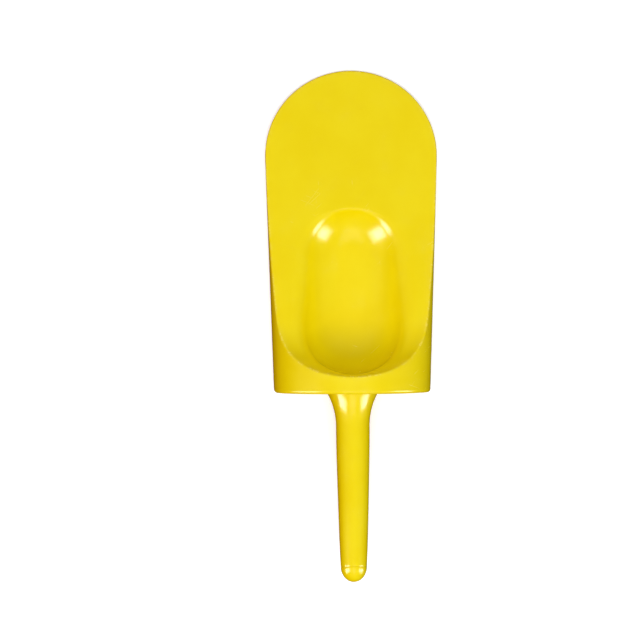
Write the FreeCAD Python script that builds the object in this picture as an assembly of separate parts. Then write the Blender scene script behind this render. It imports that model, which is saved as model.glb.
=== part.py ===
import FreeCAD, Part
import math
import os

# Hand scoop with a sloping blade, a sunk basin, an arched hood and a tapered handle.
# Millimetres. +Z is up, +Y points to the blade's tip, X = 0 is the plane of symmetry and Z = 0 is
# the surface that the scoop rests on. The origin is under the middle of the whole scoop's length.

V = FreeCAD.Vector
ORIGIN = V(0, 0, 0)
X_AXIS = V(1, 0, 0)
Y_AXIS = V(0, 1, 0)
Z_AXIS = V(0, 0, 1)

# Body in plan
BODY_LENGTH = 214.0
TIP_RADIUS = 57.2
BACK_HALF_WIDTH = 52.0

# Body in section; the plane of the blade rises by BLADE_RISE from the tip to the back wall
BODY_HEIGHT = 50.0
SKIRT_HEIGHT = 12.0
SKIRT_DRAFT = math.radians(2.0)
BLADE_EDGE = 2.6
BLADE_RISE = 30.1
WALL = 2.4
BACK_WALL = 3.0

# Pocket: the sloping floor and the wall that curves up from it to the rim
POCKET_FROM_BACK = 5.5
POCKET_RADIUS = 118.0
POCKET_ROUND = 30.0

# Basin
BASIN_RADIUS = 35.0
BASIN_FROM_TIP = 85.4
BASIN_FROM_BACK = 12.6
BASIN_ROUND = 31.0

# Rounded edges of the bowl
RIM_ROUND = 1.0
LIP_ROUND = 4.0
HOOD_ROUND = 2.0

# Base cover: it lies in a rebate round the open underside and plugs into four bosses
COVER_THICKNESS = 2.0
COVER_REBATE = 1.2
COVER_FROM_TIP = 20.0
COVER_FRONT_SEAT = 4.0
COVER_CHAMFER = 0.4
COVER_TO_BASIN = 0.6
RIB_HEIGHT = 3.0
RIB_THICKNESS = 1.4
RIB_FROM_TIP = 45.0
PIN_RADIUS = 2.0
PIN_HEIGHT = 7.0
BOSS_WALL = 1.8
BOSS_TO_BASIN = 1.5
FRONT_BOSS_AHEAD = 24.0
BACK_BOSS_BEHIND = 12.0

# Handle: its axis leaves the back wall at HANDLE_HEIGHT and rises with HANDLE_SLOPE. The flare runs on
# behind the wall by FLARE_OVERRUN before the wall's plane cuts it off, and END_TAPER is its last slope.
HANDLE_LENGTH = 122.0
HANDLE_SLOPE = math.radians(8.0)
HANDLE_HEIGHT = 21.0
FLARE_RADIUS = 45.0
FLARE_OVERRUN = 4.0
NECK_FROM_WALL = 22.0
NECK_RADIUS = 11.0
GRIP_FROM_WALL = 60.0
GRIP_RADIUS = 10.3
END_RADIUS = 8.5
END_TAPER = 0.05
CAP_LENGTH = 9.8
BORE_ROOT_RADIUS = 6.6
BORE_END_RADIUS = 5.9

# Handle joint: a spigot in a blind socket, held by a bead and kept from turning by a key
SPIGOT_RADIUS = 9.0
SPIGOT_END_GAP = 0.6
SOCKET_WALL = 3.0
BEAD_HEIGHT = 0.4
BEAD_WIDTH = 1.6
KEY_WIDTH = 3.0
KEY_HEIGHT = 1.2
CAP_PLUG_LENGTH = 9.0

# Clearance of each fit, how far cutting shapes run past the solid, and the distance that counts as touching
FIT = 0.15
MARGIN = 10.0
TOUCH = 1e-4

TIP_Y = (BODY_LENGTH + HANDLE_LENGTH) / 2
BACK_Y = TIP_Y - BODY_LENGTH
TIP_CENTRE_Y = TIP_Y - TIP_RADIUS
TOP = BODY_HEIGHT + MARGIN
BLADE_SLOPE = math.atan(BLADE_RISE / BODY_LENGTH)
BASIN_FLOOR = COVER_THICKNESS + COVER_TO_BASIN + WALL
BASIN_FRONT_Y = TIP_Y - BASIN_FROM_TIP - BASIN_RADIUS
BASIN_BACK_Y = BACK_Y + BASIN_FROM_BACK + BASIN_RADIUS
SPIGOT_LENGTH = BASIN_FROM_BACK - WALL - SPIGOT_END_GAP
BOSS_RADIUS = PIN_RADIUS + FIT + BOSS_WALL


def side_taper():
    """Angle of the straight sides, which leave the tip's arc on a tangent and end at the back wall."""
    run = TIP_CENTRE_Y - BACK_Y
    return math.asin(TIP_RADIUS / math.hypot(run, BACK_HALF_WIDTH)) - math.atan2(BACK_HALF_WIDTH, run)


TAPER = side_taper()


def draft_inset(z):
    """How far the drafted skirts lean in at height z."""
    return z * math.tan(SKIRT_DRAFT)


def half_width(y, inset):
    """Half the distance between the straight sides at y, moved in by inset along their normals."""
    return BACK_HALF_WIDTH + (y - BACK_Y) * math.tan(TAPER) - inset / math.cos(TAPER)


def outline(z, inset, back_y, from_tip=0.0):
    """Closed plan outline: straight tapered sides and a round tip, which may be moved back from_tip."""
    radius = TIP_RADIUS - from_tip * math.sin(TAPER) - inset
    centre_y = TIP_CENTRE_Y - from_tip
    tangent_x = radius * math.cos(TAPER)
    tangent_y = centre_y - radius * math.sin(TAPER)
    back_x = half_width(back_y, inset)
    right = [V(back_x, back_y, z), V(tangent_x, tangent_y, z)]
    left = [V(-tangent_x, tangent_y, z), V(-back_x, back_y, z)]
    edges = [
        Part.makeLine(right[0], right[1]),
        Part.Arc(right[1], V(0, centre_y + radius, z), left[0]).toShape(),
        Part.makeLine(left[0], left[1]),
        Part.makeLine(left[1], right[0]),
    ]
    return Part.Wire(edges)


def arch_wire(y, inset):
    """Half-elliptical section of the hood at y, standing on the top of the skirts."""
    reach = half_width(y, inset + draft_inset(SKIRT_HEIGHT))
    stretch = FreeCAD.Matrix()
    stretch.scale(reach, 1, BODY_HEIGHT - SKIRT_HEIGHT - inset)
    arch = Part.Arc(V(1, 0, 0), V(0, 0, 1), V(-1, 0, 0)).toShape().transformGeometry(stretch)
    arch.translate(V(0, y, SKIRT_HEIGHT))
    base = Part.makeLine(V(-reach, y, SKIRT_HEIGHT), V(reach, y, SKIRT_HEIGHT))
    return Part.Wire([arch, base])


def body_block(inset, back_y, bottom, from_tip=0.0):
    """The whole body moved in by inset: drafted skirts from bottom up, with the arched hood on them."""
    behind_y = BACK_Y - MARGIN
    hood_front_y = TIP_CENTRE_Y - from_tip - TIP_RADIUS * math.sin(TAPER)
    low = outline(bottom, inset + draft_inset(bottom), behind_y, from_tip)
    high = outline(SKIRT_HEIGHT, inset + draft_inset(SKIRT_HEIGHT), behind_y, from_tip)
    skirts = Part.makeLoft([low, high], True, True)
    hood = Part.makeLoft([arch_wire(behind_y, inset), arch_wire(hood_front_y, inset)], True, True)
    behind = Part.makeBox(
        4 * TIP_RADIUS, 2 * MARGIN, 2 * TOP + MARGIN, V(-2 * TIP_RADIUS, back_y - 2 * MARGIN, -2 * MARGIN)
    )
    return skirts.fuse(hood).cut(behind).removeSplitter()


def ring_section(points, middle):
    """Closed profile in the XZ plane: straight from point to point, but an arc over points 1 to 2."""
    edges = [Part.makeLine(points[0], points[1]), Part.Arc(points[1], middle, points[2]).toShape()]
    edges += [Part.makeLine(a, b) for a, b in zip(points[2:], points[3:] + points[:1])]
    return Part.Face(Part.Wire(edges))


def pocket_tool(offset):
    """All above the sloping floor: a wide disc with a rounded lower edge, and everything in front of it."""
    radius = POCKET_RADIUS + offset
    rounding = POCKET_ROUND + offset
    height = 2 * TOP
    knee = rounding * (1 - math.sqrt(0.5))
    floor = [V(0, 0, 0), V(radius - rounding, 0, 0)]
    points = floor + [V(radius, 0, rounding), V(radius, 0, height), V(0, 0, height)]
    disc = ring_section(points, V(radius - knee, 0, knee)).revolve(ORIGIN, Z_AXIS, 360)
    front = Part.makeBox(2 * radius, BODY_LENGTH + radius, height, V(-radius, 0, 0))
    tool = disc.fuse(front).removeSplitter()
    centre_y = BACK_Y + POCKET_FROM_BACK + POCKET_RADIUS
    tool.translate(V(0, 0, -offset))
    tool.rotate(ORIGIN, X_AXIS, -math.degrees(BLADE_SLOPE))
    tool.translate(V(0, centre_y, BLADE_EDGE + (TIP_Y - centre_y) * math.tan(BLADE_SLOPE)))
    return tool


def basin_tool(offset):
    """Obround basin with a level floor and a rounded lower edge, grown by offset."""
    radius = BASIN_RADIUS + offset
    floor = BASIN_FLOOR - offset
    right = [V(radius, BASIN_BACK_Y, floor), V(radius, BASIN_FRONT_Y, floor)]
    left = [V(-radius, BASIN_FRONT_Y, floor), V(-radius, BASIN_BACK_Y, floor)]
    edges = [
        Part.makeLine(right[0], right[1]),
        Part.Arc(right[1], V(0, BASIN_FRONT_Y + radius, floor), left[0]).toShape(),
        Part.makeLine(left[0], left[1]),
        Part.Arc(left[1], V(0, BASIN_BACK_Y - radius, floor), right[0]).toShape(),
    ]
    prism = Part.Face(Part.Wire(edges)).extrude(V(0, 0, TOP - floor))
    lower = [e for e in prism.Edges if e.BoundBox.ZMax - floor < TOUCH]
    return prism.makeFillet(BASIN_ROUND + offset, lower)


def lies_on(edge, *shapes):
    """True when the middle of an edge lies on the surface of every shape."""
    middle = Part.Vertex(edge.valueAt((edge.FirstParameter + edge.LastParameter) / 2))
    return all(shape.Shells[0].distToShape(middle)[0] < TOUCH for shape in shapes)


def bowl_outside():
    """The bowl as a solid, with its hood, rim and lip edges rounded."""
    block = body_block(0, BACK_Y, 0)
    pocket = pocket_tool(0)
    basin = basin_tool(0)
    form = block.cut(pocket).cut(basin).removeSplitter()
    back = [e for e in form.Edges if abs(e.BoundBox.YMax - BACK_Y) < TOUCH and e.BoundBox.ZMax > TOUCH]
    form = form.makeFillet(HOOD_ROUND, back)
    form = form.makeFillet(RIM_ROUND, [e for e in form.Edges if lies_on(e, block, pocket)])
    return form.makeFillet(LIP_ROUND, [e for e in form.Edges if lies_on(e, pocket, basin)])


def along_back(radius, length):
    """Round bar on the handle's socket axis, from just outside the back wall to length inside it."""
    return Part.makeCylinder(radius, MARGIN + length, V(0, BACK_Y - MARGIN, HANDLE_HEIGHT), Y_AXIS)


def bead(clearance):
    """Ring that stands proud of the spigot half way along it."""
    start_y = BACK_Y + (SPIGOT_LENGTH - BEAD_WIDTH) / 2 - clearance
    radius = SPIGOT_RADIUS + BEAD_HEIGHT + clearance
    return Part.makeCylinder(radius, BEAD_WIDTH + 2 * clearance, V(0, start_y, HANDLE_HEIGHT), Y_AXIS)


def key(clearance):
    """Rib under the spigot that keeps the handle from turning."""
    depth = SPIGOT_RADIUS + KEY_HEIGHT + clearance
    corner = V(-KEY_WIDTH / 2 - clearance, BACK_Y, HANDLE_HEIGHT - depth)
    return Part.makeBox(KEY_WIDTH + 2 * clearance, SPIGOT_LENGTH + clearance, depth, corner)


def boss_places():
    """The four bosses, beside the basin's front and back ends."""
    x = BASIN_RADIUS + WALL + BOSS_TO_BASIN + BOSS_RADIUS
    rows = (BASIN_FRONT_Y + FRONT_BOSS_AHEAD, BASIN_BACK_Y - BACK_BOSS_BEHIND)
    return [(side * x, y) for y in rows for side in (-1, 1)]


def make_bowl():
    """Blade, basin, hood and skirts, with the socket for the handle and the bosses for the cover."""
    void = body_block(WALL, BACK_Y + BACK_WALL, -MARGIN, COVER_FROM_TIP + COVER_FRONT_SEAT)
    void = void.cut([pocket_tool(WALL), basin_tool(WALL)])
    socket_depth = SPIGOT_LENGTH + SPIGOT_END_GAP
    void = void.cut(along_back(SPIGOT_RADIUS + FIT + SOCKET_WALL, socket_depth + WALL))
    for x, y in boss_places():
        void = void.cut(Part.makeCylinder(BOSS_RADIUS, TOP, V(x, y, COVER_THICKNESS)))
    rebate = Part.Face(outline(0, COVER_REBATE, BACK_Y + COVER_REBATE, COVER_FROM_TIP))
    bowl = bowl_outside().cut(void).cut(rebate.extrude(V(0, 0, COVER_THICKNESS)))
    bowl = bowl.cut([along_back(SPIGOT_RADIUS + FIT, socket_depth), bead(FIT), key(FIT)])
    bore_height = COVER_THICKNESS + PIN_HEIGHT + FIT
    return bowl.cut([Part.makeCylinder(PIN_RADIUS + FIT, bore_height, V(x, y, 0)) for x, y in boss_places()])


def make_base_cover():
    """Flat cover with a locating rib inside the skirts and four pins for the bosses."""
    inset = COVER_REBATE + FIT
    plate = Part.Face(outline(0, inset, BACK_Y + inset, COVER_FROM_TIP)).extrude(V(0, 0, COVER_THICKNESS))
    plate = plate.makeChamfer(COVER_CHAMFER, [e for e in plate.Edges if e.BoundBox.ZMax < TOUCH])
    side = WALL + FIT + draft_inset(COVER_THICKNESS + RIB_HEIGHT)
    back = BACK_Y + BACK_WALL + FIT
    rib = Part.Face(outline(COVER_THICKNESS, side, back, RIB_FROM_TIP))
    inner = outline(COVER_THICKNESS, side + RIB_THICKNESS, back + RIB_THICKNESS, RIB_FROM_TIP)
    rib = rib.cut(Part.Face(inner)).extrude(V(0, 0, RIB_HEIGHT))
    rib = rib.cut([Part.makeCylinder(BOSS_RADIUS + FIT, TOP, V(x, y, 0)) for x, y in boss_places()])
    pins = [Part.makeCylinder(PIN_RADIUS, COVER_THICKNESS + PIN_HEIGHT, V(x, y, 0)) for x, y in boss_places()]
    return plate.fuse([rib] + pins).removeSplitter()


def handle_end():
    """Distance along the handle's axis to the seam of the end cap, so that the cap ends at HANDLE_LENGTH."""
    reach = math.hypot(CAP_LENGTH * math.cos(HANDLE_SLOPE), END_RADIUS * math.sin(HANDLE_SLOPE))
    return (HANDLE_LENGTH - reach) / math.cos(HANDLE_SLOPE)


def on_handle_axis(shape):
    """Turn a shape made round the Z axis onto the handle's axis."""
    shape.rotate(ORIGIN, X_AXIS, 90 - math.degrees(HANDLE_SLOPE))
    shape.translate(V(0, BACK_Y, HANDLE_HEIGHT))
    return shape


def grip_outside():
    """Flared root, waist and slow taper as one turned solid, from behind the wall to the cap's seam."""
    seam = handle_end()
    flare_centre = V(NECK_RADIUS + FLARE_RADIUS, 0, NECK_FROM_WALL)

    def flare_point(distance):
        drop = NECK_FROM_WALL - distance
        return V(flare_centre.x - math.sqrt(FLARE_RADIUS**2 - drop**2), 0, distance)

    neck = V(NECK_RADIUS, 0, NECK_FROM_WALL)
    start = flare_point(-FLARE_OVERRUN)
    end = V(END_RADIUS, 0, seam)
    taper = Part.BSplineCurve()
    middle = V(GRIP_RADIUS, 0, GRIP_FROM_WALL)
    taper.interpolate(Points=[neck, middle, end], InitialTangent=Z_AXIS, FinalTangent=V(-END_TAPER, 0, 1))
    edges = [
        Part.Arc(start, flare_point((NECK_FROM_WALL - FLARE_OVERRUN) / 2), neck).toShape(),
        taper.toShape(),
        Part.makeLine(end, V(0, 0, seam)),
        Part.makeLine(V(0, 0, seam), V(0, 0, -FLARE_OVERRUN)),
        Part.makeLine(V(0, 0, -FLARE_OVERRUN), start),
    ]
    return on_handle_axis(Part.Face(Part.Wire(edges)).revolve(ORIGIN, Z_AXIS, 360))


def make_handle():
    """Hollow grip with its spigot, open at the far end for the cap."""
    span = 4 * (NECK_RADIUS + FLARE_OVERRUN)
    beyond_wall = Part.makeBox(span, span, span, V(-span / 2, BACK_Y, HANDLE_HEIGHT - span / 2))
    grip = grip_outside().cut(beyond_wall)
    spigot = Part.makeCylinder(SPIGOT_RADIUS, SPIGOT_LENGTH, V(0, BACK_Y, HANDLE_HEIGHT), Y_AXIS)
    spigot = spigot.fuse([bead(0), key(0)])
    bore_length = handle_end() + 2 * SPIGOT_LENGTH
    bore = Part.makeCone(BORE_ROOT_RADIUS, BORE_END_RADIUS, bore_length, V(0, 0, -2 * SPIGOT_LENGTH))
    return grip.fuse(spigot).cut(on_handle_axis(bore)).removeSplitter()


def make_end_cap():
    """Rounded plug for the open end of the grip."""
    dome = Part.makeSphere(1.0)
    stretch = FreeCAD.Matrix()
    stretch.scale(END_RADIUS, END_RADIUS, CAP_LENGTH)
    dome = dome.transformGeometry(stretch)
    span = 4 * CAP_LENGTH
    dome = dome.cut(Part.makeBox(span, span, span, V(-span / 2, -span / 2, -span)))
    plug = Part.makeCylinder(BORE_END_RADIUS - FIT, CAP_PLUG_LENGTH, V(0, 0, -CAP_PLUG_LENGTH))
    cap = dome.fuse(plug)
    cap.translate(V(0, 0, handle_end()))
    return on_handle_axis(cap)


os.makedirs("parts", exist_ok=True)
make_bowl().exportStep("parts/bowl.step")
make_base_cover().exportStep("parts/base_cover.step")
make_handle().exportStep("parts/handle.step")
make_end_cap().exportStep("parts/handle_end_cap.step")
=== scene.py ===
import math

import bmesh
import bpy
import numpy as np
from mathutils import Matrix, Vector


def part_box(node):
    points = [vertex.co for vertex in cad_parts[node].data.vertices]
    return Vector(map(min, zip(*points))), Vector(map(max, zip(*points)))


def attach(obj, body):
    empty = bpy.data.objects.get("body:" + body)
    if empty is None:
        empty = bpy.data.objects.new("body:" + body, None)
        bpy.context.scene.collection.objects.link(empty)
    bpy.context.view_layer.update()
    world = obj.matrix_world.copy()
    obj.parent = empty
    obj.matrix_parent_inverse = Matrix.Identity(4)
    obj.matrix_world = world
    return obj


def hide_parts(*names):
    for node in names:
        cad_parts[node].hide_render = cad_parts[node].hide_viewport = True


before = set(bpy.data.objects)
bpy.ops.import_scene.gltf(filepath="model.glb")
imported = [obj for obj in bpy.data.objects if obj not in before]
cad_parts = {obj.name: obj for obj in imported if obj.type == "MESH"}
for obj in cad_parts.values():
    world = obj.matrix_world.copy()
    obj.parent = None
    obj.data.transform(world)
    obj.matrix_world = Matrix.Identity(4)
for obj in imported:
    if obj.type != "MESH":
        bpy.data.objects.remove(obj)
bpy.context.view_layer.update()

# Looks of a hand scoop moulded in yellow plastic. Shapes are worked out in millimetres round the
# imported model's own boxes, and become metres when a mesh is made.

MM = 0.001

# ---- sizes read from the frame ----------------------------------------------------------------
bowl_low, bowl_high = (np.array(corner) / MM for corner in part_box("bowl"))
cap_low = np.array(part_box("handle_end_cap")[0]) / MM
BACK_Y, TIP_Y = bowl_low[1], bowl_high[1]
TIP_RADIUS = bowl_high[0]
BODY_HEIGHT = bowl_high[2]
HANDLE_LENGTH = BACK_Y - cap_low[1]

# ---- sizes of the body ------------------------------------------------------------------------
BACK_HALF_WIDTH = 52.0
SKIRT_HEIGHT = 12.0
SKIRT_DRAFT = math.tan(math.radians(2.0))
BLADE_EDGE = 2.6
BLADE_RISE = 30.1
POCKET_FROM_BACK = 5.5
POCKET_RADIUS = 118.0
POCKET_ROUND = 30.0
POCKET_STEEPEST = 0.985
BASIN_RADIUS = 35.0
BASIN_FROM_TIP = 85.4
BASIN_FROM_BACK = 12.6
BASIN_ROUND = 31.0
BASIN_FLOOR = 5.0
RIM_ROUND = 1.5
LIP_ROUND_FRONT = 2.0
LIP_ROUND_BACK = 14.0
HOOD_ROUND = 2.0
FOOT_ROUND = 0.35
COVER_REBATE = 1.2
COVER_DEPTH = 2.15
COVER_FROM_TIP = 20.0

# ---- sizes of the handle ----------------------------------------------------------------------
HANDLE_SLOPE = math.radians(8.0)
HANDLE_HEIGHT = 21.0
FLARE_RADIUS = 45.0
NECK_DISTANCE = 22.0
NECK_RADIUS = 11.0
GRIP_DISTANCE = 60.0
GRIP_RADIUS = 10.3
END_RADIUS = 8.5
END_TAPER = 0.05
CAP_LENGTH = 9.8
SEAM_ROUND = 0.25
ROOT_ROUND = 0.4

TIP_CENTRE_Y = TIP_Y - TIP_RADIUS
BASIN_FRONT_Y = TIP_Y - BASIN_FROM_TIP - BASIN_RADIUS
BASIN_BACK_Y = BACK_Y + BASIN_FROM_BACK + BASIN_RADIUS
SLOPE = math.atan(BLADE_RISE / (TIP_Y - BACK_Y))
RUN = TIP_CENTRE_Y - BACK_Y
TAPER = math.asin(TIP_RADIUS / math.hypot(RUN, BACK_HALF_WIDTH)) - math.atan2(BACK_HALF_WIDTH, RUN)
SIDE_END_Y = TIP_CENTRE_Y - TIP_RADIUS * math.sin(TAPER)
HOOD_RISE = BODY_HEIGHT - SKIRT_HEIGHT


# ---- the body's surfaces ----------------------------------------------------------------------
POCKET_PASSES, HALVINGS = 80, 50


def half_width(y, inset=0.0):
    """Half the distance between the tapered sides, moved in by inset."""
    return BACK_HALF_WIDTH + (y - BACK_Y) * math.tan(TAPER) - inset / math.cos(TAPER)


def reach(y, inset=0.0):
    """Half width at the foot of the arched hood."""
    return half_width(y, SKIRT_HEIGHT * SKIRT_DRAFT) - inset


def back_inset(y):
    """How far the rounded back edge leans in near the back wall."""
    short = np.clip(HOOD_ROUND - (y - BACK_Y), 0.0, HOOD_ROUND)
    return HOOD_ROUND - np.sqrt(HOOD_ROUND**2 - short**2)


def pocket_height(x, y):
    """Height of the sloping floor and of the wall that curves up from it to the rim."""
    centre_y = BACK_Y + POCKET_FROM_BACK + POCKET_RADIUS
    plane = BLADE_EDGE + (TIP_Y - y) * math.tan(SLOPE)
    centre_z = BLADE_EDGE + (TIP_Y - centre_y) * math.tan(SLOPE)
    z = plane
    for _ in range(POCKET_PASSES):
        along = np.minimum((y - centre_y) * math.cos(SLOPE) - (z - centre_z) * math.sin(SLOPE), 0.0)
        over = np.hypot(x, along) - (POCKET_RADIUS - POCKET_ROUND)
        over = np.where(along < 0.0, np.clip(over, 0.0, POCKET_STEEPEST * POCKET_ROUND), 0.0)
        z = plane + (POCKET_ROUND - np.sqrt(POCKET_ROUND**2 - over**2)) / math.cos(SLOPE)
    return z


def body_height(x, y):
    """Height of the body's outside over a place in its plan."""
    side = (half_width(y) - np.abs(x)) * math.cos(TAPER)
    nose = TIP_RADIUS - np.hypot(x, y - TIP_CENTRE_Y)
    at_nose = np.abs(x) * math.sin(TAPER) + (y - TIP_CENTRE_Y) * math.cos(TAPER) > 0.0
    skirt = np.where(at_nose, nose, side) / SKIRT_DRAFT
    share = np.clip(np.abs(x) / reach(y), 0.0, 1.0)
    hood = SKIRT_HEIGHT + HOOD_RISE * np.sqrt(1.0 - share**2)
    return np.where((share < 1.0) & ~at_nose, hood, skirt)


def basin_profile(s):
    """Distance from the basin's middle line, and height, at s along its section from the flat floor."""
    quarter = BASIN_ROUND * math.pi / 2
    angle = np.clip(s, 0.0, quarter) / BASIN_ROUND
    out = BASIN_RADIUS - BASIN_ROUND + BASIN_ROUND * np.sin(angle)
    return out, BASIN_FLOOR + BASIN_ROUND * (1 - np.cos(angle)) + np.maximum(s - quarter, 0.0)


def solve(low, high, below):
    """Where below(t) turns false between low and high, by halving."""
    for _ in range(HALVINGS):
        middle = (low + high) / 2
        keep = below(middle)
        low, high = np.where(keep, middle, low), np.where(keep, high, middle)
    return (low + high) / 2


# ---- the body as one skin ---------------------------------------------------------------------
BACK, SIDE, NOSE = range(3)
BACK_COLUMNS, CORNER_COLUMNS, HOOD_COLUMNS = 40, 9, 26
BASIN_COLUMNS, BLADE_COLUMNS, NOSE_COLUMNS = 16, 26, 52


def foot_places():
    """Places along the right half of the body's foot, from the back's middle to the tip, in order."""
    places = []
    for angle in np.linspace(0.0, math.pi / 2, BACK_COLUMNS + 1)[:-1]:
        places.append((BACK, float(angle)))
    for turn in np.linspace(0.0, math.pi / 2, CORNER_COLUMNS + 1)[:-1]:
        places.append((SIDE, BACK_Y + HOOD_ROUND * (1 - math.cos(turn))))
    for start, end, count in (
        (BACK_Y + HOOD_ROUND, BASIN_BACK_Y, HOOD_COLUMNS),
        (BASIN_BACK_Y, BASIN_FRONT_Y, BASIN_COLUMNS),
        (BASIN_FRONT_Y, SIDE_END_Y, BLADE_COLUMNS),
    ):
        for y in np.linspace(start, end, count + 1)[:-1]:
            places.append((SIDE, float(y)))
    for angle in np.linspace(-TAPER, math.pi / 2, NOSE_COLUMNS + 1):
        places.append((NOSE, float(angle)))
    return places


def foot_point(kind, where):
    """Plan of a foot place: the edge that its column runs out to."""
    if kind == BACK:
        return np.array([reach(BACK_Y, HOOD_ROUND) * math.sin(where), BACK_Y])
    if kind == SIDE:
        return np.array([half_width(where) - back_inset(where), where])
    return np.array([TIP_RADIUS * math.cos(where), TIP_CENTRE_Y + TIP_RADIUS * math.sin(where)])


def cover_point(kind, where):
    """The point of the cover's recess that lies in from a foot place."""
    if kind == BACK:
        y = BACK_Y + COVER_REBATE
        return np.array([half_width(y, COVER_REBATE) * math.sin(where), y])
    radius = TIP_RADIUS - COVER_FROM_TIP * math.sin(TAPER) - COVER_REBATE
    centre_y = TIP_CENTRE_Y - COVER_FROM_TIP
    if kind == SIDE:
        start, end = BACK_Y + COVER_REBATE, centre_y - radius * math.sin(TAPER)
        y = start + (end - start) * (where - BACK_Y) / (SIDE_END_Y - BACK_Y)
        return np.array([half_width(y, COVER_REBATE), y])
    return np.array([radius * math.cos(where), centre_y + radius * math.sin(where)])


LONG_PATH, SHORT_PATH, PLAIN_PATH = 179, 60, 240


def outside_path(kind, where, crease):
    """Points down the outside from the rim's crease to the foot, and the index where the hood ends."""
    x, y, z = crease
    t = np.linspace(0.0, 1.0, PLAIN_PATH)
    if kind == NOSE:
        start = math.atan2(y - TIP_CENTRE_Y, x)
        angle = start + (where - start) * t
        level = z * (1 - t)
        radius = TIP_RADIUS - level * SKIRT_DRAFT
        return np.stack([radius * np.cos(angle), TIP_CENTRE_Y + radius * np.sin(angle), level], 1), 0
    if z <= SKIRT_HEIGHT:
        level, line = z * (1 - t), y + (where - y) * t
        return np.stack([half_width(line, level * SKIRT_DRAFT), line, level], 1), 0
    end_y = BACK_Y if kind == BACK else where
    end_lean = where if kind == BACK else math.pi / 2
    lean = math.asin(min(1.0, x / reach(y)))
    if kind == SIDE:
        share = np.linspace(0.0, 1.0, LONG_PATH)
        line = np.linspace(y, end_y, LONG_PATH)
    else:
        turn = np.linspace(0.0, math.pi / 2, SHORT_PATH)[1:]
        near = BACK_Y + HOOD_ROUND * (1 - np.sin(turn))
        line = np.concatenate([np.linspace(y, BACK_Y + HOOD_ROUND, LONG_PATH - len(near)), near])
        share = (line - y) / (end_y - y)
    leaning = lean + (end_lean - lean) * share
    inset = back_inset(line)
    arch = np.stack(
        [
            reach(line, inset) * np.sin(leaning),
            line,
            SKIRT_HEIGHT + (HOOD_RISE - inset) * np.cos(leaning),
        ],
        1,
    )
    down = np.linspace(1.0, 0.0, SHORT_PATH + 1)[1:]
    level = arch[-1, 2] * down
    if kind == SIDE:
        wide = half_width(end_y, level * SKIRT_DRAFT) - back_inset(end_y)
    else:
        foot = (half_width(BACK_Y) - HOOD_ROUND) * math.sin(where)
        wide = foot + (arch[-1, 0] - foot) * down
    face = np.stack([wide + 0 * level, end_y + 0 * level, level], 1)
    return np.concatenate([arch, face]), len(arch) - 1


def distances(path):
    """Distance along a path to each of its points."""
    steps = np.linalg.norm(np.diff(path, axis=0), axis=1)
    return np.concatenate([[0.0], np.cumsum(steps)])


def spaced(path, at):
    """Points of a dense path at the given distances along it."""
    return np.stack([np.interp(at, distances(path), path[:, k]) for k in range(3)], 1)


def rounded(a, corner, b, count):
    """Points of a rounded corner between a and b, without its two ends."""
    t = np.linspace(0.0, 1.0, count + 1)[1:-1, None]
    return (1 - t) ** 2 * a + 2 * t * (1 - t) * corner + t**2 * b


def unit(v):
    return v / np.linalg.norm(v)


def fade(distance, over):
    """1 at an edge, falling away from it."""
    return math.exp(-max(distance, 0.0) / over)


FLOOR_ROWS, BASIN_ROWS, POCKET_ROWS = 7, 40, 38
HOOD_ROWS, EDGE_ROWS, SKIRT_ROWS = 24, 10, 12
CORNER_ROWS, FOOT_ROWS, SEAT_ROWS = 6, 4, 6
SAMPLE = 0.02

# How rubbed an edge is, from 0 to 1, and the millimetres over which that fades away from it.
RIM_WEAR, LIP_WEAR, FOOT_WEAR, UNDER_WEAR = 1.0, 0.05, 0.8, 0.5
RIM_FADE, BACK_FADE, FOOT_FADE = 1.2, 1.5, 1.0


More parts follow.
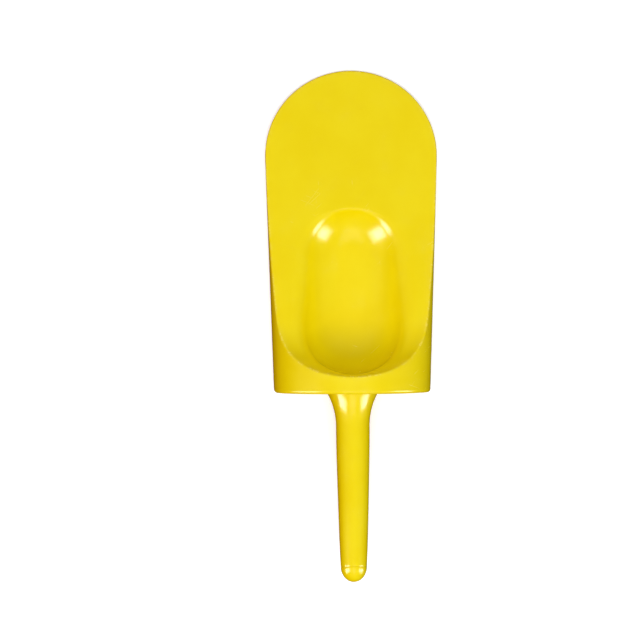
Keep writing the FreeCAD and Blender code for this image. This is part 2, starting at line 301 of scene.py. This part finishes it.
def body_column(kind, where):
    """One column of the body's skin, from the middle of the basin's floor to the middle underneath."""
    foot = foot_point(kind, where)
    start = np.array([0.0, min(max(foot[1], BASIN_BACK_Y), BASIN_FRONT_Y)])
    way = unit(foot - start)

    def on_pocket(out):
        return pocket_height(start[0] + way[0] * out, start[1] + way[1] * out)

    def in_pocket(out):
        x, y = start + way * float(out)
        return np.array([x, y, float(on_pocket(np.array(float(out))))])

    def in_basin(s):
        out, z = basin_profile(np.array(float(s)))
        return np.array([start[0] + way[0] * out, start[1] + way[1] * out, float(z)])

    depth = BODY_HEIGHT + BASIN_ROUND
    lip_s = float(solve(0.0, depth, lambda s: basin_profile(s)[1] < on_pocket(basin_profile(s)[0])))
    lip_out = float(basin_profile(np.array(lip_s))[0])
    edge_out = float(
        solve(
            lip_out,
            float(np.linalg.norm(foot - start)) + 0.5,
            lambda out: on_pocket(out) < body_height(start[0] + way[0] * out, start[1] + way[1] * out),
        )
    )
    lip, rim = in_pocket(lip_out), in_pocket(edge_out)

    rise = unit(lip - in_basin(lip_s - SAMPLE))
    flat = unit(in_pocket(lip_out + SAMPLE) - lip)
    ahead = float(np.clip((foot[1] - BASIN_BACK_Y) / (1.15 * (TIP_Y - BASIN_BACK_Y)), 0.0, 1.0))
    lip_round = LIP_ROUND_BACK + (LIP_ROUND_FRONT - LIP_ROUND_BACK) * ahead
    lip_cut = lip_round * math.tan(math.acos(min(1.0, float(rise @ flat))) / 2)
    lip_cut = min(lip_cut, 0.45 * (edge_out - lip_out) * (1 + float(flat[2]) ** 2))
    lip_plan = lip_cut * math.hypot(flat[0], flat[1])

    path, bend = outside_path(kind, where, rim)
    inward = unit(rim - in_pocket(edge_out - SAMPLE))
    fall = unit(path[2] - path[0])
    rim_turn = math.acos(max(-1.0, min(1.0, float(inward @ fall))))
    rim_cut = min(RIM_ROUND * math.tan(rim_turn / 2), 0.5 * float(rim[2]))
    rim_plan = rim_cut * math.hypot(inward[0], inward[1])

    rows, wear = [], []

    def add(points, worn):
        for p in points:
            rows.append(p)
            wear.append(worn)

    middle = BASIN_RADIUS - BASIN_ROUND
    outs = np.linspace(0.0, middle, FLOOR_ROWS + 1)[:-1]
    add([np.array([start[0] + way[0] * o, start[1] + way[1] * o, BASIN_FLOOR]) for o in outs], 0.0)
    add([in_basin(s) for s in np.linspace(0.0, lip_s - lip_cut, BASIN_ROWS)], 0.0)
    before, after = in_basin(lip_s - lip_cut), in_pocket(lip_out + lip_plan)
    add(rounded(before, lip, after, CORNER_ROWS), LIP_WEAR)
    outs = np.linspace(lip_out + lip_plan, edge_out - rim_plan, POCKET_ROWS)
    heights = on_pocket(outs)
    for o, z in zip(outs, heights):
        near = min(o - lip_out, edge_out - o)
        strength = LIP_WEAR if o - lip_out < edge_out - o else RIM_WEAR
        add([np.array([start[0] + way[0] * o, start[1] + way[1] * o, z])], strength * fade(near, RIM_FADE))
    inner = rows[-1]

    run = distances(path)
    total, hood = run[-1], run[bend]
    turned = math.pi / 2 * HOOD_ROUND
    even = np.linspace(rim_cut, total - FOOT_ROUND, HOOD_ROWS + EDGE_ROWS + SKIRT_ROWS)
    if bend:
        split = np.concatenate(
            [
                np.linspace(rim_cut, max(hood - turned, rim_cut + 0.1), HOOD_ROWS),
                np.linspace(max(hood - turned, rim_cut + 0.1), hood, EDGE_ROWS + 1)[1:],
                np.linspace(hood, total - FOOT_ROUND, SKIRT_ROWS + 1)[1:],
            ]
        )
        plain = 0.0 if kind == BACK else float(np.clip(where / BASIN_FRONT_Y, 0.0, 1.0))
        even = split + (even - split) * plain * plain * (3 - 2 * plain)
    outer = spaced(path, even)
    add(rounded(inner, rim, outer[0], CORNER_ROWS), RIM_WEAR)
    for p, s in zip(outer, even):
        worn = max(RIM_WEAR * fade(s, RIM_FADE), FOOT_WEAR * fade(total - s, FOOT_FADE))
        if kind == BACK:
            worn = max(worn, FOOT_WEAR * fade(abs(s - hood), BACK_FADE))
        if kind == SIDE:
            worn = max(worn, FOOT_WEAR * fade(p[1] - BACK_Y, BACK_FADE))
        add([p], worn)

    ground = path[-1]
    seat = np.append(cover_point(kind, where), 0.0)
    under = unit(seat - ground)
    flat_foot = ground + under * FOOT_ROUND
    add(rounded(outer[-1], ground, flat_foot, FOOT_ROWS), FOOT_WEAR)
    for t in np.linspace(0.0, 1.0, SEAT_ROWS):
        add([flat_foot + (seat - flat_foot) * t], UNDER_WEAR * math.exp(-6 * t))
    deep = seat + np.array([0.0, 0.0, COVER_DEPTH])
    add([(seat + deep) / 2, deep, np.array([0.0, (BASIN_FRONT_Y + BASIN_BACK_Y) / 2, COVER_DEPTH])], 0.0)
    return np.array(rows), np.array(wear)


def piece(name, points, faces, material, wear=None):
    """Makes a finished mesh object at the origin from points in millimetres."""
    mesh = bpy.data.meshes.new(name)
    mesh.from_pydata([tuple(p * MM) for p in points], [], faces)
    if wear is not None:
        layer = mesh.attributes.new("edge_wear", "FLOAT", "POINT")
        layer.data.foreach_set("value", np.array(wear, np.float32))
    made = bpy.data.objects.new(name, mesh)
    bpy.context.scene.collection.objects.link(made)
    smooth_but_for_edges(mesh)
    mesh.materials.append(material)
    return made


SHARP = math.radians(34.0)


def smooth_but_for_edges(mesh):
    """Shades a mesh smooth and leaves its real edges sharp."""
    work = bmesh.new()
    work.from_mesh(mesh)
    for face in work.faces:
        face.smooth = True
    for edge in work.edges:
        edge.smooth = len(edge.link_faces) == 2 and edge.calc_face_angle(0.0) < SHARP
    work.to_mesh(mesh)
    work.free()


def make_body(material):
    """The whole bowl as one closed skin: basin, sloping blade, rim, hood, skirts, back and foot."""
    places = foot_places()
    right = [body_column(kind, where) for kind, where in places]
    flip = np.array([-1.0, 1.0, 1.0])
    columns = right + [(rows * flip, wear) for rows, wear in right[-2:0:-1]]
    points, worn, known, grid = [], [], {}, []
    for rows, wear in columns:
        line = []
        for p, w in zip(rows, wear):
            key = tuple(np.round(p, 4) + 0.0)
            if key not in known:
                known[key] = len(points)
                points.append(p)
                worn.append(w)
            line.append(known[key])
        grid.append(line)
    faces = []
    for here, there in zip(grid, grid[1:] + grid[:1]):
        for j in range(len(here) - 1):
            corners = []
            for index in (here[j], here[j + 1], there[j + 1], there[j]):
                if index not in corners:
                    corners.append(index)
            if len(corners) > 2:
                faces.append(corners)
    return piece("bowl_shell", points, faces, material, worn)


# ---- expressions on sockets -------------------------------------------------------------------
class Value:
    """An output socket that can be used in sums. Every sum adds its Math nodes to the tree."""

    def __init__(self, net, socket):
        self.net = net
        self.socket = socket

    def _math(self, operation, *values):
        made = {i: v for i, v in enumerate(values)}
        return self.net.node("ShaderNodeMath", {"operation": operation}, made)

    def __add__(self, other):
        return self._math("ADD", self, other)

    def __radd__(self, other):
        return self._math("ADD", other, self)

    def __sub__(self, other):
        return self._math("SUBTRACT", self, other)

    def __rsub__(self, other):
        return self._math("SUBTRACT", other, self)

    def __mul__(self, other):
        return self._math("MULTIPLY", self, other)

    def __rmul__(self, other):
        return self._math("MULTIPLY", other, self)

    def __truediv__(self, other):
        return self._math("DIVIDE", self, other)

    def __rtruediv__(self, other):
        return self._math("DIVIDE", other, self)

    def __pow__(self, other):
        return self._math("POWER", self, other)

    def __gt__(self, other):
        return self._math("GREATER_THAN", self, other)

    def __lt__(self, other):
        return self._math("LESS_THAN", self, other)

    def apply(self, operation, *others):
        return self._math(operation, self, *others)

    def clamped(self):
        return self.apply("MAXIMUM", 0.0).apply("MINIMUM", 1.0)


class Net:
    """A node tree and the one way that nodes are added to it."""

    def __init__(self, tree):
        self.tree = tree

    def node(self, kind, settings=None, inputs=None, output=0):
        made = self.tree.nodes.new(kind)
        for name, value in (settings or {}).items():
            setattr(made, name, value)
        for name, value in (inputs or {}).items():
            if isinstance(value, Value):
                self.tree.links.new(value.socket, made.inputs[name])
            else:
                made.inputs[name].default_value = value
        return Value(self, made.outputs[output]) if len(made.outputs) else made

    def part(self, vector, axis):
        return self.node("ShaderNodeSeparateXYZ", None, {0: vector}, axis)

    def vector(self, x, y, z):
        return self.node("ShaderNodeCombineXYZ", None, {0: x, 1: y, 2: z})

    def noise(self, where, scale, detail=2.0, roughness=0.5, distortion=0.0):
        sizes = {"Vector": where, "Scale": scale, "Detail": detail}
        sizes.update({"Roughness": roughness, "Distortion": distortion})
        return self.node("ShaderNodeTexNoise", {"noise_dimensions": "3D"}, sizes)

    def ramp(self, value, low, high, start=0.0, end=1.0):
        ends = {"Value": value, "From Min": low, "From Max": high, "To Min": start, "To Max": end}
        return self.node("ShaderNodeMapRange", {"interpolation_type": "SMOOTHSTEP", "clamp": True}, ends)

    def blend(self, share, a, b):
        """Mixes two colours."""
        settings = {"data_type": "RGBA", "blend_type": "MIX"}
        return self.node("ShaderNodeMix", settings, {0: share, 6: a, 7: b}, 2)

    def placed(self, where, turn=(0.0, 0.0, 0.0), scale=(1.0, 1.0, 1.0), shift=(0.0, 0.0, 0.0)):
        ends = {"Vector": where, "Location": shift, "Rotation": turn, "Scale": scale}
        return self.node("ShaderNodeMapping", {"vector_type": "POINT"}, ends)


# ---- yellow moulded plastic -------------------------------------------------------------------
YELLOW = (0.905, 0.728, 0.0, 1.0)
YELLOW_DEEP = (0.885, 0.695, 0.0, 1.0)
YELLOW_PALE = (0.925, 0.765, 0.045, 1.0)
YELLOW_WORN = (0.93, 0.80, 0.17, 1.0)

# Sizes of the patterns, in repeats to the metre.
CLOUDS, SMUDGES, SPECKS, SCUFFED_PATCHES, RUBBED_BREAKS = 38.0, 70.0, 420.0, 16.0, 210.0
PEEL_FINE, PEEL_BROAD = 900.0, 150.0
HAIR_SCALE = (45.0, 1400.0, 45.0)
HAIR_TURNS = ((0.35, 0.0), (-0.9, 3.1), (1.45, 7.7), (2.4, 5.2))

# How far each pattern pales the colour and roughens the gloss.
DUST_PALE, HAIR_PALE, RUBBED_PALE = 0.28, 0.13, 0.20
CLOUD_ROUGH, SMUDGE_ROUGH, HAIR_ROUGH, RUBBED_ROUGH = 0.04, 0.06, 0.10, 0.12


def moulded_plastic(name, scuffs=1.0, smoothest=0.15, shift=(0.0, 0.0, 0.0)):
    """Satin yellow polypropylene: cloudy colour, rubbed edges, hair scratches and orange peel."""
    material = bpy.data.materials.new(name)
    material.use_nodes = True
    tree = material.node_tree
    tree.nodes.clear()
    net = Net(tree)
    place = net.placed(net.node("ShaderNodeTexCoord", None, None, "Object"), shift=shift)

    clouds = net.ramp(net.noise(place, CLOUDS, 3.0, 0.55), 0.3, 0.7)
    smudges = net.ramp(net.noise(place, SMUDGES, 4.0, 0.62, 0.4), 0.52, 0.72)
    dust = net.ramp(net.noise(place, SPECKS, 2.0, 0.6), 0.56, 0.74) * smudges

    hairs = None
    for angle, seed in HAIR_TURNS:
        turned = net.placed(place, (0.0, 0.0, angle), shift=(seed, 2 * seed, 0.5 * seed))
        line = net.placed(turned, scale=HAIR_SCALE)
        hair = net.ramp(net.noise(line, 1.0, 1.0, 0.4), 0.70, 0.78)
        hairs = hair if hairs is None else hairs.apply("MAXIMUM", hair)
    scuffed = net.ramp(net.noise(place, SCUFFED_PATCHES, 2.0, 0.5), 0.44, 0.62)
    hairs = hairs * scuffed * scuffs

    rubbed = net.node("ShaderNodeAttribute", {"attribute_name": "edge_wear"}, None, "Fac")
    rubbed = rubbed * net.ramp(net.noise(place, RUBBED_BREAKS, 3.0, 0.65), 0.34, 0.66)

    colour = net.blend(clouds, YELLOW_DEEP, YELLOW)
    colour = net.blend(dust * (DUST_PALE * scuffs), colour, YELLOW_PALE)
    colour = net.blend(hairs * HAIR_PALE, colour, YELLOW_PALE)
    colour = net.blend(rubbed * RUBBED_PALE, colour, YELLOW_WORN)

    rough = smoothest + clouds * CLOUD_ROUGH + smudges * SMUDGE_ROUGH
    rough = rough + hairs * HAIR_ROUGH + rubbed * RUBBED_ROUGH
    peel = net.noise(place, PEEL_FINE, 2.0, 0.5) + net.noise(place, PEEL_BROAD, 2.0, 0.5) * 1.6
    bump = {"Strength": 0.10, "Distance": 0.08 * MM, "Height": peel - hairs * 1.2}
    normal = net.node("ShaderNodeBump", None, bump, "Normal")

    shader = net.node(
        "ShaderNodeBsdfPrincipled",
        None,
        {
            "Base Color": colour,
            "Roughness": rough,
            "IOR": 1.47,
            "Specular IOR Level": 0.95,
            "Normal": normal,
            "Metallic": 0.0,
        },
    )
    net.node("ShaderNodeOutputMaterial", None, {"Surface": shader})
    return material


# ---- turned pieces of the handle, by rule -----------------------------------------------------
ROOT_PASSES = 4


def new_tree(name, sizes):
    """A Geometry Nodes tree with named number inputs and a material input."""
    tree = bpy.data.node_groups.new(name, "GeometryNodeTree")
    tree.interface.new_socket("Geometry", in_out="INPUT", socket_type="NodeSocketGeometry")
    for label, value in sizes.items():
        kind = "NodeSocketInt" if isinstance(value, int) else "NodeSocketFloat"
        socket = tree.interface.new_socket(label, in_out="INPUT", socket_type=kind)
        socket.default_value = value
    tree.interface.new_socket("Material", in_out="INPUT", socket_type="NodeSocketMaterial")
    tree.interface.new_socket("Geometry", in_out="OUTPUT", socket_type="NodeSocketGeometry")
    net = Net(tree)
    source = tree.nodes.new("NodeGroupInput")
    return net, {socket.name: Value(net, socket) for socket in source.outputs if socket.name}


def edge_bite(left):
    """How much of a rounding is cut away: all at the edge itself (left 0), none where it ends (left 1)."""
    short = 1.0 - left
    return 1.0 - (1.0 - short * short).apply("SQRT")


def turned_surface(net, given, radius_at, along_at, meets_wall):
    """Grid wrapped round the handle's axis. Its first and last rows close the two ends at the axis."""
    rows, sides = given["Rows"], given["Sides"]
    sizes = {"Size X": 1.0, "Size Y": 1.0, "Vertices X": sides, "Vertices Y": rows}
    grid = net.node("GeometryNodeMeshGrid", None, sizes, "Mesh")
    place = net.node("GeometryNodeInputPosition")
    turn = (net.part(place, 0) + 0.5) * (2 * math.pi)
    v = net.part(place, 1) + 0.5
    step = 1.0 / (rows - 1.0)
    solid = (v > step * 0.5) * (v < 1.0 - step * 0.5)
    share = ((v - step) / (1.0 - step * 2.0)).clamped()
    across, up = turn.apply("COSINE"), turn.apply("SINE")
    slope = given["Slope"]
    along = along_at(share)
    if meets_wall:
        # The handle slopes, so each side of its root starts where it comes out of the upright wall.
        start = along_at(0.0 * share)
        for _ in range(ROOT_PASSES):
            start = radius_at(start) * up * slope.apply("TANGENT")
        along = start * solid * (1.0 - share) + along
    radius = radius_at(along) * solid
    if meets_wall:
        radius = radius - edge_bite((along_at(share) / ROOT_ROUND).apply("MINIMUM", 1.0)) * ROOT_ROUND * solid
    y = given["Wall Y"] - along * slope.apply("COSINE") + radius * up * slope.apply("SINE")
    z = given["Axis Height"] + along * slope.apply("SINE") + radius * up * slope.apply("COSINE")
    spot = net.vector(radius * across * MM, y * MM, z * MM)
    shaped = net.node("GeometryNodeSetPosition", None, {"Geometry": grid, "Position": spot})
    joined = net.node("GeometryNodeMergeByDistance", None, {"Geometry": shaped, "Distance": 1e-7})
    smooth = net.node("GeometryNodeSetShadeSmooth", None, {0: joined})
    real = net.node("GeometryNodeRealizeInstances", None, {0: smooth})
    done = net.node("GeometryNodeSetMaterial", None, {"Geometry": real, "Material": given["Material"]})
    net.node("NodeGroupOutput", None, {0: done})
    return net.tree


def seam_distance():
    """Distance along the axis from the wall to the cap's seam."""
    tall = math.hypot(CAP_LENGTH * math.cos(HANDLE_SLOPE), END_RADIUS * math.sin(HANDLE_SLOPE))
    return (HANDLE_LENGTH - tall) / math.cos(HANDLE_SLOPE)


AXIS_SIZES = {"Wall Y": BACK_Y, "Axis Height": HANDLE_HEIGHT, "Slope": HANDLE_SLOPE}


def grip_tree():
    """Flared root, waist and slow taper: an arc, then two cubic runs through three radii."""
    sizes = dict(AXIS_SIZES)
    sizes.update({"Neck Distance": NECK_DISTANCE, "Neck Radius": NECK_RADIUS})
    sizes.update({"Flare Radius": FLARE_RADIUS, "Grip Distance": GRIP_DISTANCE})
    sizes.update({"Grip Radius": GRIP_RADIUS, "Seam Distance": seam_distance()})
    sizes.update({"End Radius": END_RADIUS, "End Slope": -END_TAPER, "Edge Round": SEAM_ROUND})
    sizes.update({"Rows": 110, "Sides": 97})
    net, given = new_tree("flared_grip", sizes)
    neck, waist, seam = (given[n] for n in ("Neck Distance", "Grip Distance", "Seam Distance"))
    r0, r1, r2 = (given[n] for n in ("Neck Radius", "Grip Radius", "End Radius"))
    first, second = waist - neck, seam - waist
    pull = 3.0 * (second * (r1 - r0) / first + first * (r2 - r1) / second)
    slope1 = (pull - first * given["End Slope"]) / (2.0 * (first + second))

    def cubic(t, length, a, b, slope_a, slope_b):
        fall = 1.0 - t
        return (
            a * (1.0 + 2.0 * t) * fall * fall
            + slope_a * length * t * fall * fall
            + b * t * t * (3.0 - 2.0 * t)
            - slope_b * length * t * t * fall
        )

    def radius_at(s):
        drop = (neck - s).apply("MAXIMUM", 0.0)
        flare = r0 + given["Flare Radius"] - (given["Flare Radius"] ** 2.0 - drop * drop).apply("SQRT")
        t1 = ((s - neck) / first).clamped()
        t2 = ((s - waist) / second).clamped()
        upper = cubic(t1, first, r0, r1, 0.0 * s, slope1)
        lower = cubic(t2, second, r1, r2, slope1, given["End Slope"])
        past_neck, past_waist = s > neck, s > waist
        body = flare * (1.0 - past_neck) + upper * past_neck * (1.0 - past_waist) + lower * past_waist
        return body - edge_bite(((seam - s) / given["Edge Round"]).clamped()) * given["Edge Round"]

    def along_at(share):
        root, end = 0.05, 0.96
        near = (share.apply("MINIMUM", root) / root) * ROOT_ROUND
        run = ((share - root) / (end - root)).clamped()
        last = ((share - end) / (1.0 - end)).apply("MAXIMUM", 0.0)
        middle = (seam - ROOT_ROUND - given["Edge Round"]) * (run ** 1.15)
        return near + middle + last * given["Edge Round"]

    return turned_surface(net, given, radius_at, along_at, True)


def cap_tree():
    """Half-oval cap that ends the handle, with its edge rounded at the seam."""
    sizes = dict(AXIS_SIZES)
    sizes.update({"Seam Distance": seam_distance(), "End Radius": END_RADIUS})
    sizes.update({"Cap Length": CAP_LENGTH, "Edge Round": SEAM_ROUND, "Rows": 48, "Sides": 97})
    net, given = new_tree("domed_cap", sizes)
    seam, length = given["Seam Distance"], given["Cap Length"]

    def radius_at(s):
        out = ((s - seam) / length).clamped()
        bite = edge_bite(((s - seam) / given["Edge Round"]).clamped()) * given["Edge Round"]
        return given["End Radius"] * (1.0 - out * out).apply("SQRT") - bite

    def along_at(share):
        rim = 0.12
        near = (share.apply("MINIMUM", rim) / rim) * given["Edge Round"]
        run = ((share - rim) / (1.0 - rim)).apply("MAXIMUM", 0.0)
        return seam + near + (length - given["Edge Round"]) * (run * (math.pi / 2)).apply("SINE")

    return turned_surface(net, given, radius_at, along_at, False)


def grown(name, tree, material):
    """Runs a tree on a new object and keeps the result as a plain mesh with no modifier."""
    seed = bpy.data.objects.new(name + "_rule", bpy.data.meshes.new(name + "_rule"))
    bpy.context.scene.collection.objects.link(seed)
    modifier = seed.modifiers.new("rule", "NODES")
    modifier.node_group = tree
    for item in tree.interface.items_tree:
        if item.item_type == "SOCKET" and item.in_out == "INPUT" and item.name != "Geometry":
            modifier[item.identifier] = material if item.name == "Material" else item.default_value
    bpy.context.view_layer.update()
    evaluated = seed.evaluated_get(bpy.context.evaluated_depsgraph_get())
    mesh = bpy.data.meshes.new_from_object(evaluated)
    bpy.data.objects.remove(seed)
    mesh.name = name
    work = bmesh.new()
    work.from_mesh(mesh)
    bmesh.ops.recalc_face_normals(work, faces=work.faces)
    work.to_mesh(mesh)
    work.free()
    smooth_but_for_edges(mesh)
    made = bpy.data.objects.new(name, mesh)
    bpy.context.scene.collection.objects.link(made)
    return made


# ---- pieces -----------------------------------------------------------------------------------
body_plastic = moulded_plastic("yellow_plastic_bowl")
grip_plastic = moulded_plastic("yellow_plastic_grip", scuffs=0.7, shift=(0.3, 0.1, 0.2))
cover_plastic = moulded_plastic("yellow_plastic_cover", scuffs=1.3, smoothest=0.24, shift=(0.7, 0.5, 0.1))

bowl_shell = make_body(body_plastic)
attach(bowl_shell, "root")
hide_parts("bowl")

handle_grip = grown("handle_grip", grip_tree(), grip_plastic)
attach(handle_grip, "root")
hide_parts("handle")

handle_cap = grown("handle_cap", cap_tree(), grip_plastic)
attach(handle_cap, "root")
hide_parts("handle_end_cap")

base_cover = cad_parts["base_cover"]
base_cover.data.materials.clear()
base_cover.data.materials.append(cover_plastic)


# ---- floor, light and camera ------------------------------------------------------------------
FLOOR_RADIUS, SWEEP_RADIUS, WALL_TOP = 2.6, 0.9, 6.0
FLOOR_DROP = 0.0002
FLOOR_GLOW, WALL_GLOW = 0.30, 0.95
STAGE_SIDES, SWEEP_STEPS = 96, 12


def studio_material(name, tone, paler, glow):
    """Matt white paint with a faint grain and some light of its own."""
    material = bpy.data.materials.new(name)
    material.use_nodes = True
    material.node_tree.nodes.clear()
    net = Net(material.node_tree)
    grain = net.noise(net.node("ShaderNodeTexCoord", None, None, "Object"), 60.0, 3.0, 0.5)
    values = {"Base Color": net.blend(grain, tone, paler), "Roughness": 0.9, "Emission Strength": glow}
    values["Emission Color"] = (1.0, 1.0, 1.0, 1.0)
    shader = net.node("ShaderNodeBsdfPrincipled", None, values)
    net.node("ShaderNodeOutputMaterial", None, {"Surface": shader})
    return material


def turned_stage(name, profile, material):
    """Surface turned round the upright axis from (radius, height) points in metres."""
    points, faces = [], []
    for radius, height in profile:
        for k in range(STAGE_SIDES):
            turn = 2 * math.pi * k / STAGE_SIDES
            points.append((radius * math.cos(turn), radius * math.sin(turn), height))
    for row in range(len(profile) - 1):
        for k in range(STAGE_SIDES):
            a, b = row * STAGE_SIDES + k, row * STAGE_SIDES + (k + 1) % STAGE_SIDES
            faces.append((a, b, b + STAGE_SIDES, a + STAGE_SIDES))
    mesh = bpy.data.meshes.new(name)
    mesh.from_pydata(points, [], faces)
    mesh.materials.append(material)
    made = bpy.data.objects.new(name, mesh)
    bpy.context.scene.collection.objects.link(made)
    made.location.z = -FLOOR_DROP
    made.visible_glossy = False
    made.visible_diffuse = False
    return made


def make_stage():
    """Plain white floor under the scoop, and a wall that sweeps up from it far behind."""
    white, whiter = (0.93, 0.93, 0.93, 1.0), (0.97, 0.97, 0.97, 1.0)
    floor = studio_material("white_floor", white, whiter, FLOOR_GLOW)
    turned_stage("floor", [(0.001, 0.0), (FLOOR_RADIUS, 0.0)], floor)
    grey, paler = (0.2, 0.2, 0.2, 1.0), (0.22, 0.22, 0.22, 1.0)
    wall = studio_material("white_wall", grey, paler, WALL_GLOW)
    profile = []
    for k in range(SWEEP_STEPS + 1):
        turn = math.pi / 2 * k / SWEEP_STEPS
        out = FLOOR_RADIUS + SWEEP_RADIUS * math.sin(turn)
        profile.append((out, SWEEP_RADIUS * (1.0 - math.cos(turn))))
    profile.append((FLOOR_RADIUS + SWEEP_RADIUS, WALL_TOP))
    turned_stage("wall", profile, wall).visible_shadow = False


SKY_TOP = (1.0, 1.0, 1.0, 1.0)
SKY_LEFT = (0.55, 0.12, 0.03, 1.0)
SKY_RIGHT = (0.50, 0.44, 0.42, 1.0)
SKY_STRENGTH = 0.71


def make_world():
    """Soft light from all round, white above and warm low on the left, left out of reflections."""
    world = bpy.data.worlds.new("soft_studio")
    bpy.context.scene.world = world
    world.use_nodes = True
    world.node_tree.nodes.clear()
    net = Net(world.node_tree)
    way = net.node("ShaderNodeTexCoord", None, None, "Generated")
    side, up = net.part(way, 0), net.part(way, 2)
    low = net.blend(net.ramp(side, -0.7, 0.7), SKY_LEFT, SKY_RIGHT)
    colour = net.blend(net.ramp(up, -0.05, 0.75), low, SKY_TOP)
    sky = net.node("ShaderNodeBackground", None, {"Color": colour, "Strength": SKY_STRENGTH})
    net.node("ShaderNodeOutputWorld", None, {"Surface": sky})
    world.cycles_visibility.glossy = False


# Name, azimuth and elevation in degrees, distance, width and height in metres, power in watts.
# Azimuth turns from the handle's side towards the right.
SHINE_LIGHTS = (
    ("softbox_left", -61, 29, 1.2, 0.48, 1.00, 5.6),
    ("softbox_left_core", -62, 26, 1.15, 0.30, 0.60, 2.6),
    ("softbox_right", 61, 21, 1.2, 0.48, 0.90, 4.4),
    ("softbox_right_core", 63, 18, 1.15, 0.30, 0.60, 2.5),
)
SHADE_LIGHTS = (("key", 0, 66, 2.0, 1.2, 1.2, 22.0),)


def softbox(name, azimuth, elevation, distance, width, height, power, shines):
    """Area light that looks at the scoop. It makes either highlights or shading, never both."""
    light = bpy.data.lights.new(name, "AREA")
    light.shape = "RECTANGLE"
    light.size, light.size_y = width, height
    light.energy = power
    made = bpy.data.objects.new(name, light)
    bpy.context.scene.collection.objects.link(made)
    turn, lift = math.radians(azimuth), math.radians(elevation)
    flat = math.cos(lift) * distance
    made.location = (math.sin(turn) * flat, -math.cos(turn) * flat, math.sin(lift) * distance)
    made.rotation_euler = (math.pi / 2 - lift, 0.0, turn)
    made.visible_glossy = shines
    made.visible_diffuse = not shines


CAMERA_HEIGHT = 1.3
CAMERA_PLACE = (-0.0211, 0.0019)
VIEW_WIDTH = 0.4271
VIEW_ROLL = math.radians(-0.3)


def make_camera():
    """Looks straight down on the scoop from a little to its left."""
    lens = bpy.data.cameras.new("view")
    camera = bpy.data.objects.new("view", lens)
    bpy.context.scene.collection.objects.link(camera)
    lens.sensor_width = 36.0
    lens.lens = lens.sensor_width * CAMERA_HEIGHT / VIEW_WIDTH
    lens.clip_start = 0.01
    camera.location = (CAMERA_PLACE[0], CAMERA_PLACE[1], CAMERA_HEIGHT)
    camera.rotation_euler = (0.0, 0.0, VIEW_ROLL)
    bpy.context.scene.camera = camera


make_stage()
make_world()
for row in SHINE_LIGHTS:
    softbox(*row, shines=True)
for row in SHADE_LIGHTS:
    softbox(*row, shines=False)
make_camera()
bpy.context.scene.view_settings.view_transform = "Standard"
bpy.context.scene.view_settings.look = "None"
